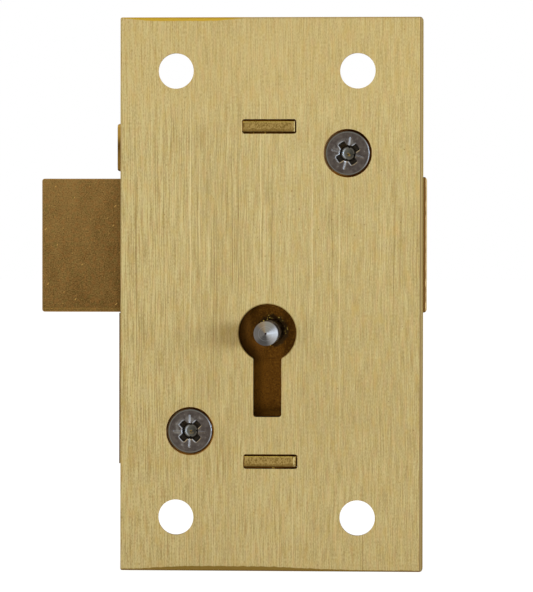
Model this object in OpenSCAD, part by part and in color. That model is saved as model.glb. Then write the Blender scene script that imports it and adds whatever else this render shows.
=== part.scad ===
// Straight cupboard lock with four levers, drawn as it lies against the inside of a door.
// The origin is the middle of the four fixing holes, on the plate's door face.
// X points right along the bolt, Y goes from the door face into the lock, and Z points up.
// The bolt is drawn thrown to the left, and slides right to draw back.

/* [Front plate] */
// Width of the plate
plate_w = 35; // [32:0.1:42]
// Height of the plate
plate_h = 64; // [60:0.5:76]
// Thickness of the plate
plate_t = 1.8; // [1.6:0.1:2.6]
// How far right of the fixing holes' middle the plate's middle lies
plate_shift = 0.55; // [0:0.05:1.2]
// Corner radius on the side that the bolt is thrown to
plate_corner_left_r = 0.25; // [0.2:0.05:1]
// Corner radius on the other side
plate_corner_right_r = 0.45; // [0.2:0.05:1]
// Radius rolled onto the edges of the door face
plate_edge_r = 0.18; // [0.1:0.02:0.4]

/* [Fixing holes] */
// Distance between the holes from side to side
fixing_w = 21; // [18:0.5:24]
// Distance between the holes from top to bottom
fixing_h = 51.6; // [50:0.2:54]
// Radius of a hole
fixing_r = 2.05; // [1.6:0.05:2.4]
// Radius of the countersink on the lock side
fixing_sink_r = 3.2; // [2.8:0.1:3.4]

/* [Keyhole] */
// Key axis to the right of the fixing holes' middle
key_x = 0.1; // [-0.6:0.1:0.6]
// Key axis above the fixing holes' middle
key_z = -4.45; // [-5.6:0.05:-3.6]
// Radius of the keyhole's round part
keyhole_r = 3.35; // [3:0.05:3.8]
// Width of the throat below it
throat_w = 3.27; // [2.6:0.05:4]
// Length of the throat below the key axis
throat_drop = 9.72; // [9.4:0.02:10.4]
// Corner radius at the foot of the throat
throat_corner_r = 0.35; // [0.2:0.05:1]
// Radius where the round part runs into the throat
throat_blend_r = 0.4; // [0.2:0.05:0.8]

/* [Lock case] */
// Thickness of the folded sheet
case_wall = 1.27; // [1:0.05:1.6]
// Inner radius of the folds
fold_r = 0.35; // [0.2:0.05:0.8]
// How far the case stands past the plate on the thrown side
case_proud = 0.3; // [0:0.05:0.4]
// How far it stops short of the plate on the other side
case_short = 0.15; // [0:0.05:0.3]
// Depth of the case below the key axis
case_drop = 15.5; // [15:0.02:17]
// How far the tab above the bolt leans out at the plate
tab_lean = 0.2; // [0.05:0.05:0.3]
// Corner radius of that tab
tab_corner_r = 0.6; // [0.3:0.1:1]
// Radius of the tab's outer corners
tab_outer_r = 0.35; // [0.2:0.05:0.5]
// Width of the open seam at each folded corner
seam_w = 0.12; // [0.08:0.02:0.3]
// How far the side walls stop short of the top and bottom
side_short = 0.24; // [0.1:0.02:0.6]
// Radius of the relief hole where a seam meets the back
relief_r = 0.5; // [0.3:0.05:0.6]
// Width of the tenons that stand through the plate
tenon_w = 6.1; // [5:0.1:8]
// Upper tenon to the right of the fixing holes' middle
tenon_top_x = 0.25; // [-1:0.05:1]
// Lower tenon to the right of the fixing holes' middle
tenon_bottom_x = 0.42; // [-1:0.05:1]
// How far the tenons end below the door face
tenon_short = 0.22; // [0.1:0.02:0.5]
// Bevel on a tenon's end
tenon_bevel = 0.06; // [0.04:0.02:0.3]
// Clearance beside a tenon in its slot
slot_gap_w = 0.085; // [0.05:0.005:0.2]
// Clearance above and below a tenon in its slot
slot_gap_h = 0.21; // [0.1:0.01:0.3]
// How far right of its tenon a slot's middle lies
slot_shift = 0.04; // [0:0.01:0.06]
// Depth at the plate's back over which a slot closes in on its tenon
slot_seat = 0.6; // [0.4:0.05:0.9]
// Clearance round the tenon there
slot_seat_gap = 0.03; // [0.02:0.01:0.06]
// Corner radius of the slots
slot_corner_r = 0.3; // [0.2:0.05:0.6]

/* [Bolt] */
// Thickness of the bolt
bolt_t = 4; // [3.5:0.1:5]
// Height of the bolt
bolt_h = 15.5; // [14.5:0.05:17]
// Lower edge of the bolt above the key axis
bolt_above_key = 2.35; // [2.2:0.05:2.8]
// How far the thrown bolt stands out past the plate
bolt_out = 9.35; // [8:0.05:12]
// How far its tail stands out on the other side
tail_out = 0.4; // [0.3:0.05:1.5]
// Length of the tail, which is a little higher than the rest
tail_l = 12; // [10:0.5:16]
// How much higher the tail is
tail_rise = 0.2; // [0.05:0.05:0.3]
// Radius of the edges at the tail's end
tail_edge_r = 0.45; // [0.2:0.05:0.6]
// Travel from thrown to drawn back
throw = 8.5; // [7.5:0.1:9]
// Radius of the bolt's corners
bolt_corner_r = 0.35; // [0.2:0.05:1]
// Radius of the bolt's edges
bolt_edge_r = 0.22; // [0.1:0.02:0.4]
// Running clearance in front of and behind the bolt
bolt_gap = 0.15; // [0.1:0.01:0.25]
// Clearance under the bolt in the case's notches
notch_gap_low = 0.1; // [0.05:0.01:0.3]
// Clearance over the bolt in the case's notches
notch_gap_top = 0.85; // [0.3:0.05:1]
// Corner radius of the notches
notch_corner_r = 0.5; // [0.2:0.1:0.8]

/* [Talon] */
// Reach of the key's bit from the key axis
bit_r = 9.1; // [8.6:0.05:9.3]
// Clearance round the bit in the bolt's arch and talon
bit_gap = 0.15; // [0.1:0.05:0.3]
// Width of the talon slot
talon_w = 2.9; // [2.4:0.1:3.4]
// Radius of the key's pipe, which the bolt's lower edge clears
pipe_r = 3.45; // [3.2:0.05:3.9]

/* [Stump] */
// Radius of the stump
stump_r = 1.25; // [1:0.05:1.4]
// Radius of its riveted tail in the bolt
stump_tail_r = 0.9; // [0.7:0.05:1]
// Stump above the key axis
stump_above_key = 12.4; // [12:0.1:13]
// Clearance round the stump in a lever's pockets
stump_gap = 0.2; // [0.15:0.05:0.3]
// Clearance between the stump's end and the case
stump_end_gap = 0.2; // [0.1:0.05:0.4]

/* [Levers] */
// Thickness of a lever
lever_t = 0.8; // [0.6:0.05:1]
// Clearance beside each lever
lever_gap = 0.1; // [0.05:0.01:0.2]
// Lift of the first lever at which its gate meets the stump, in degrees
lift_1 = 6; // [4.5:0.5:8]
// Lift of the second lever, in degrees
lift_2 = 7.5; // [4.5:0.5:8]
// Lift of the third lever, in degrees
lift_3 = 5; // [4.5:0.5:8]
// Lift of the fourth lever, in degrees
lift_4 = 6.5; // [4.5:0.5:8]
// Lever post above the key axis
pivot_above_key = 6.2; // [5.8:0.1:6.6]
// Radius of a lever's boss
boss_r = 2.8; // [2.5:0.1:3.2]
// Clearance between the boss and the case's side
boss_to_side = 1.03; // [0.5:0.05:1.5]
// Lowest point of a lever's belly above the key axis
belly_above_key = 5.2; // [5:0.1:5.4]
// Radius of the belly
belly_r = 14; // [11:0.5:18]
// Width of the bar that holds the gate
bar_w = 1.3; // [1:0.05:1.6]
// Clearance above and below the stump in the gate
gate_gap = 0.5; // [0.45:0.01:0.55]
// Width of the strip above the pockets
rail_top = 2.3; // [1.8:0.1:2.6]
// Width of the strip below the pockets
rail_low = 1.6; // [1.3:0.1:2]
// Width of the strip at the lever's free end
rail_end = 1.5; // [1.2:0.1:2]
// How far the free end's upper corner is taken down
nose_drop = 1.35; // [0.8:0.05:1.6]
// Corner radius of the lever's outline
lever_corner_r = 0.5; // [0.3:0.1:1]
// Corner radius of the pockets
pocket_corner_r = 0.3; // [0.2:0.05:0.6]

/* [Lever springs] */
// Thickness of the spring strip
spring_t = 0.25; // [0.2:0.01:0.35]
// Width of the spring strip
spring_w = 0.5; // [0.3:0.05:0.6]
// Length of the foot on the lever's upper edge
spring_foot = 2; // [1.5:0.1:2.5]
// Where the strip leaves the foot, right of the key axis
spring_root = 2.6; // [1.5:0.1:3]
// Reach of the strip from there to where it touches the case
spring_reach = 14.5; // [12.5:0.1:15]
// Radius of the rolled tip
spring_tip_r = 0.22; // [0.15:0.01:0.3]
// Clearance between the tip and the case
spring_gap = 0.1; // [0.05:0.01:0.2]

/* [Lever post] */
// Radius of the lever post
pivot_r = 1.6; // [1.3:0.05:1.8]
// Radial clearance of a lever on its post
pivot_gap = 0.05; // [0.03:0.01:0.1]
// Outer radius of the packing washers
washer_r = 2.6; // [2.3:0.1:3]
// Thickness of the packing washers
washer_t = 0.3; // [0.2:0.05:0.5]

/* [Drill pin] */
// Radius of the drill pin
pin_r = 1.4; // [1.2:0.05:1.7]
// How far its point stands out past the door face
pin_out = 4; // [1:0.1:6]
// Height of the turned cone on its end
pin_cone = 0.6; // [0.3:0.05:0.9]
// Radius of the centre mark in its point
pin_centre_r = 0.12; // [0.08:0.01:0.25]

/* [Case screws] */
// Upper screw to the right of the fixing holes' middle
upper_screw_x = 9.35; // [8.8:0.05:9.8]
// Lower screw to the right of the fixing holes' middle
lower_screw_x = -8.85; // [-9.5:0.05:-8.3]
// Radius of the thread
screw_r = 1.45; // [1.2:0.05:1.5]
// Radius of the countersunk head
head_r = 2.62; // [2.4:0.02:2.9]
// Bevel round the head's rim
head_rim = 0.14; // [0.08:0.02:0.18]
// Straight land behind the bevel
head_land = 0.1; // [0.05:0.01:0.2]
// How far the head lies below the door face
head_short = 0.08; // [0.04:0.01:0.2]
// How much wider than the head the mouth of its seat is, in radius
head_gap = 0.18; // [0.1:0.01:0.22]
// Radial clearance round the thread and the head's cone
screw_gap = 0.05; // [0.03:0.01:0.08]
// Length of a screw from its head to its end
screw_l = 8; // [6.5:0.5:8.5]
// Turn of the upper screw's recess, in degrees
upper_screw_turn = 12; // [0:1:90]
// Turn of the lower screw's recess, in degrees
lower_screw_turn = 1; // [0:1:90]
// Reach of the recess's wings
wing_reach = 1.46; // [1.1:0.02:1.6]
// Width of a wing
wing_w = 0.84; // [0.5:0.02:0.9]
// Radius of the recess's round middle
core_r = 0.95; // [0.8:0.05:1]
// Depth of the recess
recess_depth = 1.15; // [0.9:0.05:1.4]
// Reach of the tick marks between the wings
tick_reach = 1.95; // [1.6:0.05:2.2]
// Width of a tick mark
tick_w = 0.16; // [0.1:0.02:0.25]
// Depth of a tick mark
tick_depth = 0.1; // [0.05:0.01:0.15]

/* [Screw posts] */
// Radius of a screw post
post_r = 2.05; // [1.9:0.05:2.4]
// Clearance between the upper post and the case's top
upper_post_gap = 0.4; // [0.1:0.05:0.6]
// Clearance between the lower post and the case's bottom
lower_post_gap = 0.8; // [0.2:0.05:1.2]

/* [Rivets] */
// Radius of the riveted tails in the case's back
tail_r = 1.1; // [0.8:0.05:1.15]
// Clearance round a riveted tail
rivet_gap = 0.02; // [0.01:0.01:0.04]
// Radius of the peened heads on the case's back
rivet_head_r = 1.7; // [1.4:0.05:2]
// Height of the peened heads
rivet_head_h = 0.35; // [0.2:0.05:0.5]

/* [Hidden] */
$fn = 72;

// How far a cut runs past the face that it starts from
past = 1;

// Colours
BRASS = "#c3b177";
CAST_BRASS = "#795e33";
RAW_BRASS = "#8f753c";
BRONZE = "#b08a50";
STEEL = "#a9a8a4";
DARK_STEEL = "#57504a";

// Sides of the plate
plate_x0 = plate_shift - plate_w / 2;
plate_x1 = plate_shift + plate_w / 2;

// Depths from the door face, in the order in which the lock is packed
bolt_y0 = plate_t + bolt_gap;
bolt_y1 = bolt_y0 + bolt_t;
front_washer_y = bolt_y1 + bolt_gap;
first_lever_y = front_washer_y + washer_t + lever_gap;
lever_pitch = lever_t + lever_gap;
lifts = [lift_1, lift_2, lift_3, lift_4];
back_washer_y = first_lever_y + len(lifts) * lever_pitch;
case_in_y = back_washer_y + washer_t;
case_out_y = case_in_y + case_wall;

// Bolt
bolt_x0 = plate_x0 - bolt_out;
bolt_x1 = plate_x1 + tail_out;
bolt_z0 = key_z + bolt_above_key;
bolt_z1 = bolt_z0 + bolt_h;
talon_x = key_x - throw / 2;

// Case, closed over the upper post and open for the bolt
notch_z0 = bolt_z0 - notch_gap_low;
notch_z1 = bolt_z1 + notch_gap_top;
notch_y1 = bolt_y1 + bolt_gap;
upper_screw_z = notch_z1 + post_r;
case_x0 = plate_x0 - case_proud;
case_x1 = plate_x1 - case_short;
case_z0 = key_z - case_drop;
case_z1 = upper_screw_z + post_r + upper_post_gap + case_wall;
case_in_x0 = case_x0 + case_wall;
case_in_x1 = case_x1 - case_wall;
case_in_z0 = case_z0 + case_wall;
case_in_z1 = case_z1 - case_wall;
fold_out_r = fold_r + case_wall;
fold_y = case_out_y - fold_out_r;
lower_screw_z = case_in_z0 + lower_post_gap + post_r;

// Stump and lever post
stump_x = key_x - throw / 2;
stump_z = key_z + stump_above_key;
pivot_x = case_in_x1 - boss_to_side - boss_r;
pivot_z = key_z + pivot_above_key;

// Where the stump stands in a lever's own plane, once the bolt has gone s and the lever has turned a
function stump_seen(s, a) =
    let (dx = stump_x + s - pivot_x, dz = stump_z - pivot_z)
    [pivot_x + dx * cos(a) - dz * sin(a), pivot_z + dx * sin(a) + dz * cos(a)];

// Pockets and outline that all the levers share
pocket_x0 = stump_x - stump_r - stump_gap;
pocket_x1 = stump_x + throw + stump_r + stump_gap;
pocket_z0 = stump_seen(throw, 2 * max(lifts))[1] - stump_r - stump_gap;
pocket_z1 = stump_z + stump_r + stump_gap;
lever_x0 = pocket_x0 - rail_end;
lever_x1 = pocket_x1 + rail_end;
lever_z0 = pocket_z0 - rail_low;
lever_z1 = pocket_z1 + rail_top;
belly_z = key_z + belly_above_key;

// The blend of the keyhole is drawn in this many points a side, and its ends lie this far inside the hole
blend_steps = 7;
blend_inset = 0.02;

// Each post carries one screw, and its thread stops before the post's root
post_bore_y = head_short + screw_l + 0.4;
screw_tip = 0.3;
sink_y = head_short + head_rim + head_land;
cone_h = head_r - screw_r;

// A piece cut from sheet: the outline is drawn in X and Z, starts at depth y and is t thick
module sheet(y, t) {
    translate([0, y + t, 0])
        rotate([90, 0, 0])
            linear_extrude(t)
                children();
}

// A turned piece on an axis along Y, from a profile of [radius, depth] points
module turned(x, z, profile) {
    translate([x, 0, z])
        rotate([-90, 0, 0])
            rotate_extrude()
                polygon(profile);
}

// The domed head of a riveted tail, on the case's back
module rivet_head(x, z) {
    dome_r = (rivet_head_r * rivet_head_r + rivet_head_h * rivet_head_h) / (2 * rivet_head_h);
    intersection() {
        translate([x, case_out_y + rivet_head_h - dome_r, z])
            sphere(dome_r, $fn = 144);
        translate([x, case_out_y, z])
            rotate([-90, 0, 0])
                cylinder(h = rivet_head_h + past, r = rivet_head_r);
    }
}

// The outline of a rectangle between two corners, with its own radius at each side
module rounded(x0, z0, x1, z1, left_r, right_r) {
    translate([x0 + left_r, z0])
        square([x1 - x0 - left_r - right_r, z1 - z0]);
    translate([x0, z0 + left_r])
        square([left_r * 2, z1 - z0 - 2 * left_r]);
    translate([x1 - 2 * right_r, z0 + right_r])
        square([right_r * 2, z1 - z0 - 2 * right_r]);
    for (z = [z0 + left_r, z1 - left_r])
        translate([x0 + left_r, z])
            circle(left_r);
    for (z = [z0 + right_r, z1 - right_r])
        translate([x1 - right_r, z])
            circle(right_r);
}

// The cross-section of a sheet with two rounded front edges: a0 to a1 wide and t deep
module rolled_section(a0, a1, t, r) {
    translate([a0, r])
        square([a1 - a0, t - r]);
    translate([a0 + r, 0])
        square([a1 - a0 - 2 * r, t]);
    for (a = [a0 + r, a1 - r])
        translate([a, r])
            circle(r);
}

// A section in X and Y that runs up from z0 to z1
module along_z(z0, z1) {
    translate([0, 0, z0])
        linear_extrude(z1 - z0)
            children();
}

// A section in Z and Y that runs right from x0 to x1
module along_x(x0, x1) {
    translate([x1, 0, 0])
        rotate([0, -90, 0])
            linear_extrude(x1 - x0)
                children();
}

// Point k on the curve from the keyhole's round part into its throat, down the left side for k under 0
// and up the right side above. The outermost points lie just inside the hole, where the outlines cross.
function blend_point(k) =
    let (side = k < 0 ? -1 : 1,
         x = throat_w / 2 + throat_blend_r,
         z = -sqrt(pow(keyhole_r + throat_blend_r, 2) - x * x),
         share = (abs(k) - 1) / (blend_steps - 1),
         a = 180 + share * (atan2(-z, -x) - 180),
         end = abs(k) == 1 || abs(k) == blend_steps,
         r = end ? throat_blend_r + blend_inset : throat_blend_r)
    [side * (x + r * cos(a)), z + r * sin(a)];

module keyhole() {
    foot_z = key_z - throat_drop;
    half = throat_w / 2;
    translate([key_x, key_z])
        circle(keyhole_r);
    rounded(key_x - half, foot_z, key_x + half, key_z, throat_corner_r, throat_corner_r);
    translate([key_x, key_z])
        polygon([for (k = [-blend_steps : blend_steps]) if (k != 0) blend_point(k)]);
}

module front_plate() {
    color(BRASS)
        difference() {
            intersection() {
                sheet(0, plate_t)
                    rounded(
                        plate_x0, -plate_h / 2, plate_x1, plate_h / 2,
                        plate_corner_left_r, plate_corner_right_r
                    );
                along_z(-plate_h / 2, plate_h / 2)
                    rolled_section(plate_x0, plate_x1, plate_t, plate_edge_r);
                along_x(plate_x0, plate_x1)
                    rolled_section(-plate_h / 2, plate_h / 2, plate_t, plate_edge_r);
            }
            for (x = [-fixing_w / 2, fixing_w / 2], z = [-fixing_h / 2, fixing_h / 2])
                fixing_hole(x, z);
            sheet(-past, plate_t + 2 * past)
                keyhole();
            tenon_slot(tenon_top_x, case_z1 - case_wall / 2);
            tenon_slot(tenon_bottom_x, case_z0 + case_wall / 2);
            screw_sink(upper_screw_x, upper_screw_z);
            screw_sink(lower_screw_x, lower_screw_z);
        }
}

// A plain hole on the door face that is countersunk on the lock side
module fixing_hole(x, z) {
    sink_h = fixing_sink_r - fixing_r;
    turned(x, z, [
        [0, -past], [fixing_r, -past], [fixing_r, plate_t - sink_h],
        [fixing_sink_r, plate_t], [fixing_sink_r, plate_t + past], [0, plate_t + past]
    ]);
}

// The seat of a case screw, a cone that the head lies in, with a mouth wider than the head
module screw_sink(x, z) {
    mouth_r = head_r + head_gap;
    bore_r = screw_r + screw_gap;
    turned(x, z, [
        [0, -past], [mouth_r, -past], [mouth_r, sink_y + screw_gap - head_gap],
        [bore_r, sink_y + cone_h], [bore_r, plate_t + past], [0, plate_t + past]
    ]);
}

// A slot that is wide at the door face and fits its tenon closely at the back
module tenon_slot(x, z) {
    mid_x = x + slot_shift;
    half_w = tenon_w / 2 + slot_gap_w;
    half_h = case_wall / 2 + slot_gap_h;
    seat_w = tenon_w + 2 * slot_seat_gap;
    seat_h = case_wall + 2 * slot_seat_gap;
    mouth_t = plate_t - slot_seat;
    sheet(-past, mouth_t + past)
        rounded(mid_x - half_w, z - half_h, mid_x + half_w, z + half_h, slot_corner_r, slot_corner_r);
    sheet(mouth_t / 2, plate_t + past)
        translate([x - seat_w / 2, z - seat_h / 2])
            square([seat_w, seat_h]);
}

// The section of a folded channel, open towards the plate, with its two folds rounded at radius r
module channel(a0, a1, y1, r) {
    translate([a0, plate_t])
        square([a1 - a0, y1 - r - plate_t]);
    translate([a0 + r, plate_t])
        square([a1 - a0 - 2 * r, y1 - plate_t]);
    for (a = [a0 + r, a1 - r])
        translate([a, y1 - r])
            circle(r);
}

module lock_case() {
    color(RAW_BRASS) {
        difference() {
            intersection() {
                along_z(case_z0, case_z1)
                    channel(case_x0, case_x1, case_out_y, fold_out_r);
                along_x(case_x0, case_x1)
                    channel(case_z0, case_z1, case_out_y, fold_out_r);
            }
            case_hollow();
            bolt_notch(case_x0 - past, case_in_x0 + past / 2);
            bolt_notch(case_in_x1 - past / 2, case_x1 + past);
            for (x = [case_in_x0, case_in_x1 - seam_w], z = [case_in_z0, case_in_z1])
                corner_seam(x, z);
            side_end(case_x0 - past, case_in_x0 + seam_w / 2);
            side_end(case_in_x1 - seam_w / 2, case_x1 + past);
            tab_room();
            for (at = [[key_x, key_z], [pivot_x, pivot_z],
                       [upper_screw_x, upper_screw_z], [lower_screw_x, lower_screw_z]])
                translate([at[0], case_in_y - past, at[1]])
                    rotate([-90, 0, 0])
                        cylinder(h = case_wall + 2 * past, r = tail_r + rivet_gap);
        }
        leaning_tab();
        tenon(tenon_top_x, case_in_z1, case_z1);
        tenon(tenon_bottom_x, case_z0, case_in_z0);
    }
}

module case_hollow() {
    intersection() {
        along_z(case_in_z0, case_in_z1)
            hollow_section(case_in_x0, case_in_x1);
        along_x(case_in_x0, case_in_x1)
            hollow_section(case_in_z0, case_in_z1);
    }
}

module hollow_section(a0, a1) {
    channel(a0, a1, case_in_y, fold_r);
    translate([a0, plate_t - past])
        square([a1 - a0, 2 * past]);
}

// The side walls are open from the plate to behind the bolt
module bolt_notch(x0, x1) {
    along_x(x0, x1) {
        translate([notch_z0, plate_t - past])
            square([notch_z1 - notch_z0, notch_y1 - notch_corner_r - plate_t + past]);
        rounded(notch_z0, plate_t, notch_z1, notch_y1, notch_corner_r, notch_corner_r);
    }
}

// The open seam between two folded walls, with a relief hole at the back
module corner_seam(x, z) {
    up = z > 0 ? 1 : -1;
    translate([x, plate_t - past, up > 0 ? z - past / 2 : z + past / 2 - case_wall - past])
        cube([seam_w, fold_y - plate_t + past, case_wall + past * 1.5]);
    translate([x + seam_w / 2, fold_y, up > 0 ? z - past / 2 : z + past / 2 - case_wall - past])
        cylinder(h = case_wall + past * 1.5, r = relief_r);
}

// A side wall's upper and lower ends lie a little inside the case's top and bottom
module side_end(x0, x1) {
    for (z = [case_z1 - side_short, case_z0 - past])
        translate([x0, plate_t - past, z])
            cube([x1 - x0, fold_y - plate_t + past, side_short + past]);
}

// The tab of the left wall above the bolt is cut free, to be drawn leaning out
module tab_room() {
    translate([case_x0 - past, plate_t - past, notch_z1 - past / 2])
        cube([case_wall + past, fold_y - plate_t + past, case_z1 - notch_z1 + past]);
}

module leaning_tab() {
    top_z = case_z1 - side_short;
    outer_x = case_x0 - tab_lean - tab_lean / 4;
    intersection() {
        along_z(notch_z1, top_z)
            polygon([
                [case_x0 - tab_lean, plate_t], [case_in_x0 - tab_lean, plate_t],
                [case_in_x0, fold_y], [case_x0, fold_y]
            ]);
        along_x(case_x0 - past, case_in_x0 + past)
            rounded(notch_z1, plate_t, top_z, fold_y + past, tab_corner_r, tab_corner_r);
        sheet(0, case_out_y)
            rounded(outer_x, notch_z1, case_in_x0 + past, top_z, tab_outer_r, tab_outer_r);
    }
}

// The outline of a tenon across one of its widths, from a0 to a1, with its end bevelled
function tenon_section(a0, a1) = [
    [a0, plate_t], [a0, tenon_short + tenon_bevel], [a0 + tenon_bevel, tenon_short],
    [a1 - tenon_bevel, tenon_short], [a1, tenon_short + tenon_bevel], [a1, plate_t]
];

// A tenon of the top or bottom wall that stands in the plate's slot
module tenon(x, z0, z1) {
    x0 = x - tenon_w / 2;
    x1 = x + tenon_w / 2;
    intersection() {
        along_z(z0, z1)
            polygon(tenon_section(x0, x1));
        along_x(x0, x1)
            polygon(tenon_section(z0, z1));
    }
}

// A bar of the bolt's thickness from x0 to the tail's end, up to z1, with its edges rounded
module bolt_bar(x0, z1) {
    intersection() {
        sheet(bolt_y0, bolt_t)
            rounded(x0, bolt_z0, bolt_x1, z1, bolt_corner_r, bolt_corner_r);
        along_z(bolt_z0, z1)
            rounded(x0, bolt_y0, bolt_x1, bolt_y1, bolt_edge_r, tail_edge_r);
        along_x(x0, bolt_x1)
            rounded(bolt_z0, bolt_y0, z1, bolt_y1, bolt_edge_r, bolt_edge_r);
    }
}

module bolt() {
    arch_r = bit_r + bit_gap;
    color(CAST_BRASS)
        difference() {
            union() {
                bolt_bar(bolt_x0, bolt_z1);
                bolt_bar(bolt_x1 - tail_l, bolt_z1 + tail_rise);
            }
            sheet(bolt_y0 - past, bolt_t + 2 * past) {
                intersection() {
                    translate([key_x, key_z])
                        circle(arch_r);
                    translate([key_x - 2 * arch_r, key_z])
                        square([talon_x - key_x + 2 * arch_r, arch_r]);
                }
                intersection() {
                    translate([key_x - throw, key_z])
                        circle(arch_r);
                    translate([talon_x, key_z])
                        square([2 * arch_r, arch_r]);
                }
                translate([talon_x - talon_w / 2, key_z])
                    square([talon_w, arch_r + bit_gap]);
                translate([key_x - throw - pipe_r, key_z])
                    square([throw + 2 * pipe_r, pipe_r]);
            }
            translate([stump_x, bolt_y0 - past, stump_z])
                rotate([-90, 0, 0])
                    cylinder(h = bolt_t + 2 * past, r = stump_tail_r + rivet_gap);
        }
}

module bolt_stump() {
    edge = 0.2;
    color(STEEL)
        turned(stump_x, stump_z, [
            [0, bolt_y0], [stump_tail_r, bolt_y0], [stump_tail_r, bolt_y1], [stump_r, bolt_y1],
            [stump_r, case_in_y - stump_end_gap - edge], [stump_r - edge, case_in_y - stump_end_gap],
            [0, case_in_y - stump_end_gap]
        ]);
}

// The point where a line from point p touches the lever's boss, on its upper or lower side
function touch(p, side) =
    let (dx = p[0] - pivot_x, dz = p[1] - pivot_z, a = atan2(dz, dx) - side * acos(boss_r / norm([dx, dz])))
    [pivot_x + boss_r * cos(a), pivot_z + boss_r * sin(a)];

module lever_outline() {
    neck_top = [lever_x1 - lever_corner_r, lever_z1];
    neck_low = [lever_x1 - lever_corner_r, lever_z0];
    difference() {
        union() {
            rounded(lever_x0, lever_z0, lever_x1, lever_z1, lever_corner_r, lever_corner_r);
            polygon([neck_low, touch(neck_low, -1), [pivot_x, pivot_z], touch(neck_top, 1), neck_top]);
            translate([pivot_x, pivot_z])
                circle(boss_r);
            intersection() {
                translate([key_x, belly_z + belly_r])
                    circle(belly_r, $fn = 180);
                translate([lever_x0, belly_z - past])
                    square([lever_x1 - lever_x0, lever_z0 + lever_corner_r - belly_z + past]);
            }
        }
        polygon([
            [lever_x0 - past, lever_z1 - nose_drop], [lever_x0, lever_z1 - nose_drop],
            [pocket_x0 + 2 * rail_end, lever_z1], [pocket_x0 + 2 * rail_end, lever_z1 + past],
            [lever_x0 - past, lever_z1 + past]
        ]);
    }
}

// The two pockets and the gate that joins them, for a lever with the given lift
module lever_window(lift) {
    gate = stump_seen(throw / 2, lift);
    gate_half = stump_r + gate_gap;
    rounded(pocket_x0, pocket_z0, gate[0] - bar_w / 2, pocket_z1, pocket_corner_r, pocket_corner_r);
    rounded(gate[0] + bar_w / 2, pocket_z0, pocket_x1, pocket_z1, pocket_corner_r, pocket_corner_r);
    translate([gate[0] - bar_w, gate[1] - gate_half])
        square([2 * bar_w, 2 * gate_half]);
}

module lever(i) {
    color(BRONZE)
        difference() {
            sheet(first_lever_y + i * lever_pitch, lever_t)
                difference() {
                    lever_outline();
                    lever_window(lifts[i]);
                }
            translate([pivot_x, first_lever_y + i * lever_pitch - past, pivot_z])
                rotate([-90, 0, 0])
                    cylinder(h = lever_t + 2 * past, r = pivot_r + pivot_gap);
        }
}

// A strip that stands on the lever's upper edge and bears with its rolled tip against the case's top
module lever_spring(i) {
    root_x = key_x + spring_root;
    foot_z = lever_z1 + spring_t / 2;
    tip_x = root_x - spring_reach;
    tip_z = case_in_z1 - spring_gap - spring_tip_r;
    rise = tip_z - foot_z;
    arc_r = (spring_reach * spring_reach + rise * rise) / (2 * rise);
    centre_z = tip_z - arc_r;
    middle_y = first_lever_y + i * lever_pitch + lever_t / 2;
    color(BRONZE)
        sheet(middle_y - spring_w / 2, spring_w) {
            intersection() {
                difference() {
                    translate([tip_x, centre_z])
                        circle(arc_r + spring_t / 2, $fn = 180);
                    translate([tip_x, centre_z])
                        circle(arc_r - spring_t / 2, $fn = 180);
                }
                translate([tip_x, lever_z1])
                    square([spring_reach + spring_foot, tip_z + spring_t - lever_z1]);
            }
            translate([root_x, lever_z1])
                square([spring_foot, spring_t]);
            translate([tip_x, tip_z])
                circle(spring_tip_r);
        }
}

module lever_post() {
    edge = 0.2;
    color(STEEL) {
        turned(pivot_x, pivot_z, [
            [0, front_washer_y], [pivot_r - edge, front_washer_y], [pivot_r, front_washer_y + edge],
            [pivot_r, case_in_y], [tail_r, case_in_y], [tail_r, case_out_y], [0, case_out_y]
        ]);
        rivet_head(pivot_x, pivot_z);
    }
}

module washer(y) {
    color(BRASS)
        turned(pivot_x, pivot_z, [
            [pivot_r + pivot_gap, y], [washer_r, y],
            [washer_r, y + washer_t], [pivot_r + pivot_gap, y + washer_t]
        ]);
}

module drill_pin() {
    cone_top_r = pin_centre_r * 1.5;
    color(STEEL) {
        turned(key_x, key_z, [
            [0, pin_centre_r - pin_out], [pin_centre_r, -pin_out], [cone_top_r, -pin_out],
            [pin_r, pin_cone - pin_out], [pin_r, case_in_y], [tail_r, case_in_y],
            [tail_r, case_out_y], [0, case_out_y]
        ]);
        rivet_head(key_x, key_z);
    }
}

// The cross recess: four tapered wings on the diagonals, a pointed middle and a tick between each pair
module cross_recess() {
    wing_foot = 0.55;
    core_foot = 0.68;
    floor_drop = 0.25;
    intersection() {
        union()
            for (a = [45, 135])
                rotate([0, 0, a])
                    translate([-wing_reach, -wing_w / 2, -past])
                        cube([2 * wing_reach, wing_w, recess_depth + past]);
        union() {
            cylinder(h = recess_depth, r1 = wing_reach, r2 = wing_reach * wing_foot);
            translate([0, 0, -past])
                cylinder(h = past, r = wing_reach);
        }
    }
    rotate_extrude()
        polygon([
            [0, -past], [core_r, -past], [core_r, 0], [core_r * core_foot, recess_depth],
            [0, recess_depth + floor_drop]
        ]);
    for (a = [0, 90, 180, 270])
        rotate([0, 0, a])
            translate([0, -tick_w / 2, -past])
                cube([tick_reach, tick_w, tick_depth + past]);
}

module case_screw(x, z, turn) {
    end_y = head_short + screw_l;
    color(DARK_STEEL)
        difference() {
            turned(x, z, [
                [0, head_short], [head_r - head_rim, head_short], [head_r, head_short + head_rim],
                [head_r, sink_y], [screw_r, sink_y + cone_h],
                [screw_r, end_y - screw_tip], [screw_r - screw_tip, end_y], [0, end_y]
            ]);
            translate([x, head_short, z])
                rotate([-90, turn, 0])
                    cross_recess();
        }
}

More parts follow.
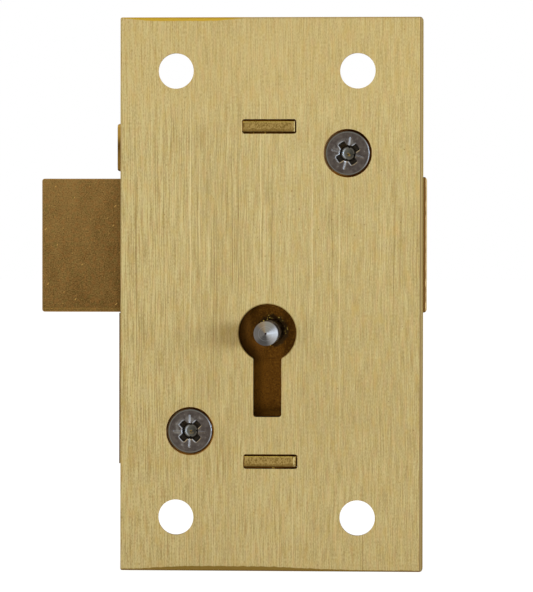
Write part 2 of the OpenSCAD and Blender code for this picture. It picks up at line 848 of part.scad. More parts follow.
// A pillar between the plate and the case's back, bored for its screw and riveted to the case
module screw_post(x, z) {
    bore_r = screw_r + screw_gap;
    color(STEEL) {
        turned(x, z, [
            [bore_r, plate_t], [post_r, plate_t], [post_r, case_in_y], [tail_r, case_in_y],
            [tail_r, case_out_y], [0, case_out_y], [0, post_bore_y + bore_r / 2], [bore_r, post_bore_y]
        ]);
        rivet_head(x, z);
    }
}

front_plate();
lock_case();
bolt();
bolt_stump();
for (i = [0 : len(lifts) - 1])
    lever(i);
for (i = [0 : len(lifts) - 1])
    lever_spring(i);
lever_post();
washer(front_washer_y);  // front_washer
washer(back_washer_y);  // back_washer
drill_pin();
case_screw(upper_screw_x, upper_screw_z, upper_screw_turn);  // upper_case_screw
case_screw(lower_screw_x, lower_screw_z, lower_screw_turn);  // lower_case_screw
screw_post(upper_screw_x, upper_screw_z);  // upper_screw_post
screw_post(lower_screw_x, lower_screw_z);  // lower_screw_post
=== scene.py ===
import math

import bpy
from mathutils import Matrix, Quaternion, Vector


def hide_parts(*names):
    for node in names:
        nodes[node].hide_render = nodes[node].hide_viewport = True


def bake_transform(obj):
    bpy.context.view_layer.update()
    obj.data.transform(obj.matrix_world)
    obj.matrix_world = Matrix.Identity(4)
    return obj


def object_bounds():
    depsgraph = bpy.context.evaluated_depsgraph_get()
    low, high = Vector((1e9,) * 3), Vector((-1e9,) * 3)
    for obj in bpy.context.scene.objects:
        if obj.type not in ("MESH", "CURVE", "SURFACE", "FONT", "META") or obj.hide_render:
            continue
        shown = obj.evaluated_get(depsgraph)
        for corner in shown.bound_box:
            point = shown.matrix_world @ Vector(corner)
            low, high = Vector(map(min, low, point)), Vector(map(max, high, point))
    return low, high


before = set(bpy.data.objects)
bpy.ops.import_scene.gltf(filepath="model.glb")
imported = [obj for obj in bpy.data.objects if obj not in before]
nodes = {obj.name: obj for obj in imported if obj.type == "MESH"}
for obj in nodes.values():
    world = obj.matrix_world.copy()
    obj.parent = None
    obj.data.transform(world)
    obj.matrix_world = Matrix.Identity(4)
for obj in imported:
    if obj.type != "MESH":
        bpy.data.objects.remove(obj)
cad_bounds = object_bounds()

MM = 0.001

# Places on the lock, in millimetres: X to the right, Y into the lock, Z up
KEY_X, KEY_Z = 0.1, -4.45
KEYHOLE_R = 3.35
PLATE_RIGHT, PLATE_TOP, PLATE_BOTTOM = 18.05, 32.0, -32.0
THROUGH_PLATE = 30
SLOT_X, SLOT_HALF_X = 0.34, 3.3
SLOTS_Z = (19.385, -19.315)
CASE_FLOOR_Y = 10.4
CASE_MID_X, CASE_HALF_X = 0.325, 16.305
CASE_MID_Z, CASE_HALF_Z = 0.035, 18.715
BOLT_TAIL_X = 18.45
LEVERS_Y = (6.9, 7.8, 8.7, 9.6)
SCREW_HEAD_R = 2.62

# Each case screw's axis across and up, and how far its cross recess is turned
SCREWS = {
    "upper_case_screw": (9.35, 16.3, math.radians(-12)),
    "lower_case_screw": (-8.85, -15.83, math.radians(-1)),
}

# Colour of the light on the bolt and the screws, and on the plate, which their colours allow for
LIGHT = (1.06, 1.09, 1.13)
PLATE_LIGHT = (1.19, 1.26, 1.40)


def linear(r, g, b, light=(1, 1, 1)):
    """The value that a shader takes to look like r, g, b, 0 to 255, under light of that colour."""
    out = []
    for v, share in zip((r / 255, g / 255, b / 255), light):
        v = v / 12.92 if v <= 0.04045 else ((v + 0.055) / 1.055) ** 2.4
        out.append(v / share)
    return (*out, 1)


class Finish:
    """A material with one Principled shader, and short ways to add the nodes that feed it."""

    def __init__(self, name, light=(1, 1, 1)):
        self.material = bpy.data.materials.new(name)
        self.material.use_nodes = True
        self.tree = self.material.node_tree
        self.shader = self.tree.nodes["Principled BSDF"]
        self.light = light
        place = self.add("ShaderNodeTexCoord").outputs["Object"]
        self.mm = self.vector("MULTIPLY", place, (1 / MM,) * 3)
        self.x, self.y, self.z = self.parts(self.mm)
        self.normal = self.add("ShaderNodeNewGeometry").outputs["Normal"]
        self.colour = None

    def put(self, socket, value):
        """Links another node's output to the socket, or sets a plain value on it."""
        if isinstance(value, bpy.types.NodeSocket):
            self.tree.links.new(value, socket)
        else:
            socket.default_value = value

    def add(self, kind, **inputs):
        node = self.tree.nodes.new(kind)
        for name, value in inputs.items():
            self.put(node.inputs[name], value)
        return node

    def parts(self, vector):
        return tuple(self.add("ShaderNodeSeparateXYZ", Vector=vector).outputs)

    def combine(self, x, y=0.0, z=0.0):
        return self.add("ShaderNodeCombineXYZ", X=x, Y=y, Z=z).outputs[0]

    def vector(self, operation, a, b):
        node = self.tree.nodes.new("ShaderNodeVectorMath")
        node.operation = operation
        self.put(node.inputs[0], a)
        self.put(node.inputs[1], b)
        return node.outputs["Value" if operation == "DOT_PRODUCT" else "Vector"]

    def calc(self, operation, a, b=0.0, c=0.0):
        node = self.tree.nodes.new("ShaderNodeMath")
        node.operation = operation
        for socket, value in zip(node.inputs, (a, b, c)):
            self.put(socket, value)
        return node.outputs[0]

    def absolute(self, value):
        return self.calc("ABSOLUTE", value)

    def scaled(self, value, factor, offset):
        return self.calc("MULTIPLY_ADD", value, factor, offset)

    def both(self, *values):
        """The product of all values: 1 only where each of them is."""
        out = values[0]
        for v in values[1:]:
            out = self.calc("MULTIPLY", out, v)
        return out

    def between(self, value, low, high, to_low=0.0, to_high=1.0):
        """value from low to high becomes to_low to to_high, smoothly, and stays there beyond."""
        node = self.tree.nodes.new("ShaderNodeMapRange")
        node.interpolation_type = "SMOOTHSTEP"
        for name, v in (
            ("Value", value), ("From Min", low), ("From Max", high),
            ("To Min", to_low), ("To Max", to_high),
        ):
            self.put(node.inputs[name], v)
        return node.outputs[0]

    def near(self, value, middle, reach, soft=0.1):
        """1 where value lies within reach of the middle, 0 from soft further out."""
        away = self.absolute(self.calc("SUBTRACT", value, middle))
        return self.between(away, reach + soft, reach)

    def about(self, cx, cz):
        """Distance from an axis along Y through (cx, cz), and the offsets from it."""
        dx = self.calc("SUBTRACT", self.x, cx)
        dz = self.calc("SUBTRACT", self.z, cz)
        squares = self.calc("ADD", self.both(dx, dx), self.both(dz, dz))
        return self.calc("SQRT", squares), dx, dz

    def noise(self, size, detail=2.0, rough=0.5, shift=(0, 0, 0), warp=None):
        """Noise whose lumps are about size millimetres, one number or (x, y, z)."""
        sizes = size if isinstance(size, tuple) else (size,) * 3
        place = self.mm if warp is None else self.vector("ADD", self.mm, warp)
        place = self.vector("ADD", place, shift)
        place = self.vector("MULTIPLY", place, tuple(1 / s for s in sizes))
        node = self.add("ShaderNodeTexNoise", Vector=place, Scale=1.0)
        self.put(node.inputs["Detail"], detail)
        self.put(node.inputs["Roughness"], rough)
        return node.outputs["Fac"]

    def mix(self, fac, a, b):
        node = self.tree.nodes.new("ShaderNodeMix")
        node.data_type = "RGBA"
        for socket, value in zip((node.inputs[0], node.inputs[6], node.inputs[7]), (fac, a, b)):
            self.put(socket, value)
        return node.outputs[2]

    def tint(self, fac, low, high):
        """A colour from low to high as fac goes from 0 to 1, for white light."""
        return self.mix(fac, linear(*low), linear(*high))

    def start(self, fac, low, high):
        """The ground colour, from low to high as fac goes from 0 to 1."""
        self.colour = self.mix(fac, linear(*low, self.light), linear(*high, self.light))

    def paint(self, fac, colour, level=1.0):
        """Lays a colour over the ground where fac says so."""
        if level != 1.0:
            fac = self.calc("MULTIPLY", fac, level)
        if isinstance(colour, tuple):
            colour = linear(*colour, self.light)
        self.colour = self.mix(fac, self.colour, colour)

    def paint_rows(self, where, *rows):
        """Paints rows of (colour, level, masks), each within where and all of its own masks."""
        for colour, level, *masks in rows:
            self.paint(self.both(where, *masks), colour, level)

    def bump(self, height, depth_mm, normal=None):
        node = self.add("ShaderNodeBump", Height=height, Strength=1.0, Distance=depth_mm * MM)
        if normal is not None:
            self.put(node.inputs["Normal"], normal)
        return node.outputs[0]

    def bevel(self, radius_mm, samples=6):
        """The normal as if edges were rounded by that radius."""
        node = self.add("ShaderNodeBevel", Radius=radius_mm * MM)
        node.samples = samples
        return node.outputs[0]

    def edge(self, bent):
        """0 on flat faces and 1 along the edges, for the normal that bevel() gave."""
        return self.between(self.vector("DOT_PRODUCT", bent, self.normal), 0.995, 0.9)

    def wear(self, **sockets):
        """Gives the shader its colour and what is named, each in its own socket."""
        for name, value in {"Base Color": self.colour, "Metallic": 1.0, **sockets}.items():
            self.put(self.shader.inputs[name], value)

    def give(self, *names):
        for name in names:
            mesh = nodes[name].data
            mesh.materials.clear()
            mesh.materials.append(self.material)


# The plate: brass brushed along its height
def plate_noise(f, width, length, detail=0.0, rough=0.5, shift=(0, 0), warp=None):
    """Noise across and up the plate, the same all through its thickness."""
    size = (width, THROUGH_PLATE, length)
    return f.noise(size, detail, rough, (shift[0], 0, shift[1]), warp)


def plate_streaks(f, warp):
    """How light the brushing is from place to place, 0.5 in the middle."""
    # long streaks are deeper in the middle and on the left, short ones and nicks are all over
    height = f.absolute(f.z)
    patch = plate_noise(f, 8, 14, 1.0, shift=(50, 20))
    busy = f.both(f.between(f.x, 5, -2), f.between(height, 24, 17))
    busy = f.scaled(busy, 0.65, f.between(patch, 0.35, 0.65, 0.15, 0.55))
    calm = f.between(f.z, 17, 23, 1.0, 0.82)
    tone = 0.5
    for width, length, share, shift, strength in (
        (0.12, 7.5, 0.42, (0, 0), busy),
        (0.12, 3.2, 0.46, (23, 9), calm),
        (0.5, 9, 0.15, (31, 7), busy),
        (0.11, 0.3, 0.36, (13, 5), 1.0),
    ):
        part = plate_noise(f, width, length, 1.0, shift=shift, warp=warp)
        part = f.calc("MULTIPLY", f.calc("SUBTRACT", part, 0.5), share)
        tone = f.scaled(part, strength, tone)
    # they stand out more on the left and towards the ends; the left, most of all its upper half,
    # the ends and a band down the middle are painted a little lighter, as painted light that evens
    # out the key lamp's fall-off across the plate
    left, ends = f.between(f.x, -7, -13), f.between(height, 14, 24)
    gain = f.scaled(left, 0.42, f.scaled(ends, 0.25, 1.0))
    light = f.calc("MAXIMUM", f.both(left, f.between(f.z, -9, 0)), f.near(f.x, 0.5, 2, 3))
    lift = f.scaled(left, 0.02, f.scaled(ends, 0.035, 0.5))
    lift = f.scaled(light, 0.02, lift)
    return f.scaled(f.calc("SUBTRACT", tone, 0.5), gain, lift)


def plate_stains(f, warp):
    lines = plate_noise(f, 0.15, 45, shift=(71, 17), warp=warp)
    pits = plate_noise(f, 0.22, 0.3, shift=(83, 11))
    warm = plate_noise(f, 1.2, 2.5, 2.0, 0.6, (19, 41))
    red = plate_noise(f, 0.4, 2.2, 2.0, 0.6, (9, 77))
    yellow = plate_noise(f, 0.6, 1.4, 2.0, 0.6, (91, 33))
    for fac, colour, level in (
        # single light and dark lines, which run most of the plate's height
        (f.between(lines, 0.70, 0.8), (236, 220, 168), 0.6),
        (f.between(lines, 0.3, 0.22), (142, 116, 66), 0.6),
        (f.between(pits, 0.79, 0.84), (140, 112, 60), 0.7),
        (f.between(warm, 0.5, 0.75), (204, 172, 98), 0.3),
        # faint stains, redder and greener, then yellower and greyer
        (f.between(red, 0.44, 0.7), (216, 168, 112), 0.22),
        (f.between(red, 0.44, 0.26), (180, 176, 118), 0.16),
        (f.between(yellow, 0.47, 0.7), (200, 174, 100), 0.3),
        (f.between(yellow, 0.47, 0.3), (188, 164, 124), 0.24),
        # the upper end is warmer
        (f.between(f.z, 16, 26), (202, 166, 94), 0.14),
    ):
        f.paint(fac, colour, level)


def plate_edges(f, face):
    # a golden line along the left part of the top edge, and a darker one along the bottom, each
    # with a wavy inner side
    edge_wave = plate_noise(f, 0.6, 0.25, 1.0, shift=(3, 8))
    drop = f.both(f.between(f.x, -17, -13), f.between(f.x, -1, -7))
    drop = f.scaled(drop, 0.34, f.scaled(edge_wave, 0.16, f.z))
    top = f.between(drop, PLATE_TOP - 0.06, PLATE_TOP + 0.02)
    f.paint(f.both(top, f.between(f.x, -0.5, -5), face), (202, 166, 58))
    rise = f.both(f.between(f.x, -17, -8), f.between(f.x, 12, -2))
    rise = f.scaled(rise, -0.38, f.scaled(edge_wave, -0.2, f.z))
    low = f.between(rise, PLATE_BOTTOM + 0.14, PLATE_BOTTOM + 0.02)
    f.paint(f.both(low, face), (138, 111, 49), 0.95)
    # down the right, painted highlight and shade across the rounded edge: a dull line, a lighter
    # band, and a darker band on the rolled edge that tones down the key lamp's glint there
    f.paint_rows(
        face,
        ((150, 126, 84), 1.0, f.near(f.x, PLATE_RIGHT - 0.31, 0.04, 0.06)),
        ((170, 150, 104), 1.0, f.between(f.x, PLATE_RIGHT - 0.25, PLATE_RIGHT - 0.2)),
        ((128, 106, 58), 1.0, f.between(f.x, PLATE_RIGHT - 0.16, PLATE_RIGHT - 0.1)),
    )


def plate_openings(f, face):
    """The sawn sides and the cut walls of the openings, which are duller than the face."""
    nx, ny, _ = f.parts(f.normal)
    wall = f.between(f.y, 0.1, 0.24)
    side = f.between(f.absolute(ny), 0.85, 0.5)
    mill = f.noise((0.5, 0.12, 0.5))
    f.paint(wall, f.tint(mill, (120, 92, 42), (172, 142, 78)))
    # the walls of the keyhole and its throat, painted dark as painted shade, and a dull line on
    # the face round the round part
    keyhole = f.both(side, f.near(f.x, KEY_X, 3.8), f.near(f.z, KEY_Z - 3.2, 7))
    f.paint(keyhole, f.tint(f.between(mill, 0.55, 0.75), (62, 36, 9), (150, 116, 46)))
    r, _, dz = f.about(KEY_X, KEY_Z)
    rim = f.near(r, KEYHOLE_R + 0.02, 0.05, 0.05)
    f.paint(f.both(rim, f.between(dz, -3.0, -2.8), face), (140, 112, 56), 0.7)
    # the slots: brown long walls, ends painted light where they lie in shade, and chips
    chips = plate_noise(f, 0.45, 0.7, shift=(27, 3))
    front = f.between(ny, 0.6, 0.3)
    inner = f.calc("MAXIMUM", wall, side)
    for slot_z in SLOTS_Z:
        slot = f.both(f.near(f.x, SLOT_X, SLOT_HALF_X), f.near(f.z, slot_z, 1), front, inner)
        f.paint_rows(
            slot,
            ((122, 78, 26), 1.0),
            ((216, 166, 84), 1.0, f.between(f.absolute(nx), 0.4, 0.7)),
            ((206, 168, 80), 1.0, f.between(chips, 0.7, 0.74)),
        )
    # the screws' seats, painted lighter where they lie in shade: paler on the left and golden at
    # the lower right
    for cx, cz, _ in SCREWS.values():
        r, dx, dz = f.about(cx, cz)
        f.paint_rows(
            f.both(f.between(f.y, 0.0, 0.06), f.between(r, 3.0, 2.9)),
            ((164, 112, 48), 1.0),
            ((178, 144, 102), 1.0, f.between(dx, -0.4, -1.6)),
            ((222, 170, 88), 1.0, f.between(f.calc("SUBTRACT", dx, dz), -0.5, 1.0)),
        )


def plate_finish():
    f = Finish("plate_brushed", light=PLATE_LIGHT)
    warp = f.combine(f.scaled(plate_noise(f, 9, 7, 1.0), 0.4, -0.2))
    tone = plate_streaks(f, warp)
    f.start(f.between(tone, 0.31, 0.69), (169, 147, 93), (213, 196, 141))
    plate_stains(f, warp)
    face = f.between(f.y, 0.6, 0.3)
    plate_edges(f, face)
    plate_openings(f, face)
    f.wear(Anisotropic=0.85, Roughness=f.scaled(tone, 0.12, 0.49), Normal=f.bump(tone, 0.006))
    f.give("front_plate")


# The folded case: raw sheet outside, tarnished inside
def case_inside(f, inside, fleck):
    """The tarnished floor and walls, with painted shade round the pin and painted lighter where
    they lie in the plate's shade.
    """
    mottle = f.noise(0.35, 3.0, 0.6, (6, 0, 2))
    f.paint(inside, f.tint(f.between(mottle, 0.3, 0.7), (80, 48, 11), (93, 59, 17)))
    r, dx, dz = f.about(KEY_X, KEY_Z)
    lower_left = (f.between(dz, -0.4, -1.4), f.between(dz, -3.6, -2.8), f.between(dx, -0.6, -1.6))
    above = (f.between(dz, 0.0, 1.0), f.between(dx, 0.4, -0.6), f.between(r, 2.9, 2.0))
    spots = f.noise(0.22, 2.0, 0.6, (7, 7, 1))
    f.paint_rows(
        inside,
        # round the pin: painted shade on the right, on the left and above, and painted lighter far
        # left and lower left, where the plate's shade falls
        ((66, 39, 9), 0.9, f.near(dx, 2.0, 0.4, 0.6)),
        ((66, 41, 11), 0.25, f.near(dx, -2.1, 0.2, 0.5), f.between(dz, -1.4, -0.6)),
        ((142, 94, 36), 0.85, f.between(dx, -2.3, -3.0)),
        ((128, 82, 29), 0.6, f.both(*lower_left)),
        ((50, 31, 8), 0.6, f.both(*above)),
        # behind the throat, on its left and at its lower end, painted lighter where the plate's
        # shade falls
        ((138, 89, 28), 0.76, f.between(dz, -2.6, -4.2), f.between(dx, 0.1, -1.9)),
        ((172, 112, 36), 0.7, f.between(dz, -3.6, -4.4), f.between(dx, -1.5, -2.0)),
        ((180, 120, 42), 0.85, f.between(dz, -9.3, -10.1)),
        # light and dark spots and bright flecks
        ((118, 80, 26), 0.6, f.between(spots, 0.52, 0.7)),
        ((48, 28, 8), 0.65, f.between(spots, 0.46, 0.28)),
        ((150, 116, 48), 0.7, f.between(fleck, 0.79, 0.83)),
    )
    # a dark ragged ring round the drill pin's root, painted shade together with riveting burr,
    # painted a little lighter on the right where it lies in shade, with a few golden flecks
    ragged = f.scaled(f.noise(0.5, 2.0, 0.6, (1, 5, 5)), 0.8, r)
    on_floor = f.between(f.y, CASE_FLOOR_Y - 0.3, CASE_FLOOR_Y - 0.1)
    root = f.both(f.between(ragged, 2.4, 2.15), on_floor)
    f.paint(root, f.tint(f.between(dx, 0.2, 1.1), (38, 25, 11), (50, 36, 19)), 0.9)
    few = f.between(f.noise(0.8, 1.0, 0.5, (8, 1, 3)), 0.48, 0.56)
    f.paint(f.both(root, few, f.between(fleck, 0.6, 0.68)), (190, 164, 80))


def tenon_ends(f):
    """Fibrous ends with painted shade along the lower bevel, a painted highlight along the upper
    one and a pale painted highlight on the right.
    """
    end = f.both(f.between(f.y, 1.3, 1.0), f.between(f.absolute(f.z), 18, 18.3))
    fibre = f.noise((0.15, 0.3, 0.22), 2.0, 0.6, (2, 2, 2))
    f.paint(end, f.tint(f.between(fibre, 0.3, 0.7), (116, 92, 42), (170, 143, 83)))
    line = f.calc("ADD", *[f.near(f.z, z + 0.59, 0.05, 0.06) for z in SLOTS_Z])
    band = f.calc("ADD", *[f.near(f.z, z - 0.55, 0.12, 0.2) for z in SLOTS_Z])
    right = f.near(f.x, SLOT_X + 2.85, 0.04, 0.05)
    f.paint_rows(
        f.both(end, f.between(f.y, 0.6, 0.4)),
        ((112, 86, 38), 0.7, band),
        ((206, 178, 86), 0.9, line, f.between(fibre, 0.3, 0.5)),
        ((214, 196, 136), 1.0, right, f.between(fibre, 0.3, 0.55)),
    )


def case_finish():
    f = Finish("case_sheet")
    lines = f.noise((20, 0.4, 0.12))
    stain = f.noise((4, 3, 5), 4.0, 0.6, (3, 9, 1))
    grain = f.noise(0.2)
    tone = f.scaled(lines, 0.6, f.calc("MULTIPLY", stain, 0.4))
    f.start(f.between(tone, 0.25, 0.75), (142, 112, 58), (166, 135, 76))
    bent = f.bevel(0.1)
    f.paint(f.edge(bent), (196, 168, 104), 0.4)
    # the left wall is darker where it shows past the plate, and lighter at its upper end
    left = f.both(f.between(f.x, -16.5, -17), f.between(f.y, 4, 2.5))
    f.paint(left, f.tint(f.between(stain, 0.4, 0.6), (84, 58, 18), (124, 92, 36)), 0.85)
    f.paint(f.both(left, f.between(f.z, 17.2, 18.6)), (190, 152, 72), 0.7)
    inside = f.both(
        f.between(f.y, CASE_FLOOR_Y + 0.3, CASE_FLOOR_Y + 0.1),
        f.near(f.x, CASE_MID_X, CASE_HALF_X + 0.05, 0.2),
        f.near(f.z, CASE_MID_Z, CASE_HALF_Z + 0.05, 0.2),
    )
    case_inside(f, inside, fleck=f.noise(0.2, 0.0, 0.5, (4, 4, 4)))
    tenon_ends(f)
    f.wear(
        Roughness=f.scaled(inside, -0.14, f.scaled(grain, 0.1, 0.31)),
        Normal=f.bump(grain, 0.004, bent),
    )
    f.give("lock_case")


# The bolt: cast brass, blasted and browned
def bolt_finish():
    f = Finish("bolt_cast", light=LIGHT)
    nx, _, nz = f.parts(f.normal)
    grit = f.noise(0.15, 2.0, 0.7)
    cloud = f.noise((1.6, 1.6, 2.6), 3.0, 0.65, (4, 4, 4))
    # a little lighter towards the top, and darker towards the right, where the plate shades it:
    # painted shade
    tone = f.scaled(grit, 0.74, f.calc("MULTIPLY", cloud, 0.22))
    tone = f.calc("ADD", tone, f.scaled(f.z, 0.0062, -0.012))
    tone = f.calc("ADD", tone, f.scaled(f.x, -0.003, -0.064))
    f.start(f.between(tone, 0.33, 0.67), (93, 69, 32), (148, 118, 67))
    # redder and greener stains, then bright specks, slanting scrapes and dark dents
    hue = f.noise(0.5, 2.0, 0.6, (12, 3, 8))
    speck = f.noise((0.12, 0.12, 0.2), 0.0, 0.5, (9, 1, 5))
    lean = f.combine(f.calc("MULTIPLY", f.z, -0.8))
    scrape = f.noise((1 / 5, 1 / 3, 1 / 2.2), 0.0, warp=lean)
    dents = f.noise((0.3, 0.3, 0.24), 0.0, 0.5, (5, 1, 9))
    f.paint(f.between(hue, 0.45, 0.7), (148, 102, 52), 0.36)
    f.paint(f.between(hue, 0.45, 0.28), (110, 98, 47), 0.36)
    f.paint(f.between(speck, 0.82, 0.86), (190, 150, 80), 0.6)
    f.paint(f.between(scrape, 0.79, 0.83), (206, 166, 92), 0.9)
    f.paint(f.between(dents, 0.23, 0.17), (76, 50, 20), 0.7)
    # painted highlights by which way the faces turn: golden along the lower edge and at the left
    # end, duller along the top, and a faint golden line near the lower edge
    f.paint(f.between(nz, -0.3, -0.7), (182, 140, 66), 0.7)
    f.paint(f.between(nx, -0.3, -0.7), (180, 150, 98), 0.7)
    f.paint(f.between(nz, 0.3, 0.7), (156, 120, 64), 0.8)
    f.paint(f.near(f.z, -1.72, 0.06, 0.1), (168, 132, 66), 0.2)
    # what shows of the tail past the plate is painted dark as painted shade, and its end carries a
    # painted highlight
    front = f.between(f.y, 2.7, 2.4)
    f.paint(f.both(f.between(f.x, PLATE_RIGHT - 0.05, PLATE_RIGHT), front), (84, 55, 22))
    patches = f.scaled(f.noise((0.3, 0.3, 0.9)), 0.12, f.x)
    wear_and_highlight = f.between(patches, BOLT_TAIL_X - 0.09, BOLT_TAIL_X - 0.01)
    f.paint(f.both(wear_and_highlight, front), (208, 182, 126))
    f.wear(Roughness=0.5, Normal=f.bump(grit, 0.02, f.bevel(0.08)))
    f.give("bolt")


# Levers and washers: stamped sheet
def lever_finish():
    f = Finish("lever_stamped")
    rolled = f.noise((6, 0.3, 0.12), 2.0, 0.6)
    stain = f.noise(3, 3.0)
    f.start(f.between(rolled, 0.3, 0.7), (164, 132, 72), (198, 168, 104))
    f.paint(f.between(stain, 0.5, 0.7), (120, 88, 40), 0.5)
    bent = f.bevel(0.06)
    f.paint(f.edge(bent), (222, 196, 132), 0.5)
    f.wear(Roughness=0.34, Normal=f.bump(rolled, 0.004, bent))
    f.give("lever_1", "lever_2", "lever_3", "lever_4", "front_washer", "back_washer")


# Springs: rolled bronze strip, which bends between its lever and the case's top
def spring_points(foot=2, foot_steps=4, bow_steps=40, curl=0.13, curl_steps=12, curl_step=20):
    """The middle line from the foot to the rolled tip, in millimetres across and up."""
    root_x, tip_x, foot_z, radius, centre_z = 2.7, -11.8, 11.825, 19.22, -0.79
    sweep = math.asin((root_x - tip_x) / radius)
    points = [(root_x + foot * k / foot_steps, foot_z) for k in range(foot_steps, 0, -1)]
    for k in range(bow_steps + 1):
        a = sweep * (1 - k / bow_steps)
        points.append((tip_x + radius * math.sin(a), centre_z + radius * math.cos(a)))
    for k in range(1, curl_steps + 1):
        a = math.radians(curl_step * k)
        points.append((tip_x - curl * math.sin(a), centre_z + radius - curl + curl * math.cos(a)))
    return points


def strip_mesh(name, points, y, width, thick):
    """A flat strip of one thickness along points, which lie in the plane at y."""
    corners, faces = [], []
    last = len(points) - 1
    for k, (x, z) in enumerate(points):
        ax, az = points[max(k - 1, 0)]
        bx, bz = points[min(k + 1, last)]
        length = math.hypot(bx - ax, bz - az)
        nx, nz = (az - bz) / length * thick / 2, (bx - ax) / length * thick / 2
        for side, up in ((-1, -1), (1, -1), (1, 1), (-1, 1)):
            corners.append(((x + up * nx) * MM, (y + side * width / 2) * MM, (z + up * nz) * MM))
    for k in range(last):
        for j in range(4):
            a, b = 4 * k + j, 4 * k + (j + 1) % 4
            faces.append((a, b, b + 4, a + 4))
    faces += [(3, 2, 1, 0), tuple(4 * last + j for j in range(4))]
    mesh = bpy.data.meshes.new(name)
    mesh.from_pydata(corners, [], faces)
    return mesh


def add_springs():
    f = Finish("spring_strip")
    rolled = f.noise((3, 0.06, 3))
    f.start(rolled, (160, 116, 66), (200, 152, 92))
    f.wear(Roughness=0.28, Normal=f.bump(rolled, 0.003))
    points = spring_points()
    for i, y in enumerate(LEVERS_Y, 1):
        name = f"lever_spring_{i}"
        f.give(name)
        mesh = strip_mesh(name, points, y, width=0.5, thick=0.25)
        strip = bpy.data.objects.new(f"spring_strip_{i}", mesh)
        strip.data.materials.append(f.material)
        bpy.context.scene.collection.objects.link(strip)
        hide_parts(name)
        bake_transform(strip)


# Turned steel: the posts and the bolt's stump
def turned_finish():
    f = Finish("turned_steel")
    rings = f.noise((0.9, 0.08, 0.9))
    f.start(rings, (138, 134, 128), (176, 173, 168))
    f.wear(Roughness=0.32, Normal=f.bump(rings, 0.004, f.bevel(0.05)))
    f.give("lever_post", "bolt_stump", "upper_screw_post", "lower_screw_post")


def pin_finish():
    """The drill pin: turned steel with a coned end and a stained shaft."""
    f = Finish("pin_turned")
    r, dx, dz = f.about(KEY_X, KEY_Z)
    rings = f.add("ShaderNodeTexNoise", Vector=f.combine(r, f.y), Scale=14.0, Detail=2.0)
    rings = rings.outputs["Fac"]
    # the end's colour is painted by angle round the axis, as painted light and shade: a highlight
    # on the right, grey above, a warm reflection at the upper left, and dull on the left
    angle = f.calc("ARCTAN2", dx, dz)
    side = f.calc("COSINE", f.calc("SUBTRACT", angle, 1.75))
    f.start(f.between(side, 0.2, 1.0), (77, 74, 71), (150, 147, 143))
    f.paint(f.near(angle, 0.2, 0.3, 0.5), (144, 140, 127), 0.7)
    f.paint(f.near(angle, -0.45, 0.2, 0.4), (146, 126, 96), 0.7)
    f.paint(f.near(angle, -1.5, 0.45, 0.65), (116, 111, 105), 0.7)
    # dark and light turned rings, and the dark middle
    f.paint(f.between(rings, 0.55, 0.75), (70, 68, 66), 0.35)
    f.paint(f.between(rings, 0.45, 0.25), (158, 158, 160), 0.3)
    f.paint(f.between(r, 0.15, 0.07), (66, 44, 44))
    # the shaft is stained dark brown where it stands out of the lock, with painted shade darkest
    # on its right,
    # and painted lighter in the lock, where it lies in shade, with golden specks between
    stain = f.between(f.noise((0.4, 0.9, 0.4), 2.0, 0.6, (2, 6, 1)), 0.35, 0.65)
    outer = f.tint(stain, (66, 47, 32), (112, 90, 68))
    right = f.both(f.between(dx, 0.5, 1.1), f.between(f.y, -3.6, -3.2))
    outer = f.mix(right, outer, linear(36, 26, 17))
    inner = f.tint(stain, (190, 150, 108), (250, 222, 176))
    brown = f.mix(f.between(f.y, 0.4, 1.8), outer, inner)
    speck = f.noise((0.22, 1.2, 0.22), 0.0, 0.5, (3, 8, 6))
    few = f.both(f.between(speck, 0.7, 0.76), f.between(f.y, -1.0, 0.5))
    brown = f.mix(few, brown, linear(240, 206, 110))
    behind = f.between(f.y, CASE_FLOOR_Y + 1, CASE_FLOOR_Y + 0.5)
    shaft = f.both(f.between(f.y, -3.4, -1.8), behind)
    f.paint(shaft, brown)
    f.wear(Metallic=f.scaled(shaft, -1.0, 1.0), Roughness=0.5, Normal=f.bump(rings, 0.006))
    f.give("drill_pin")


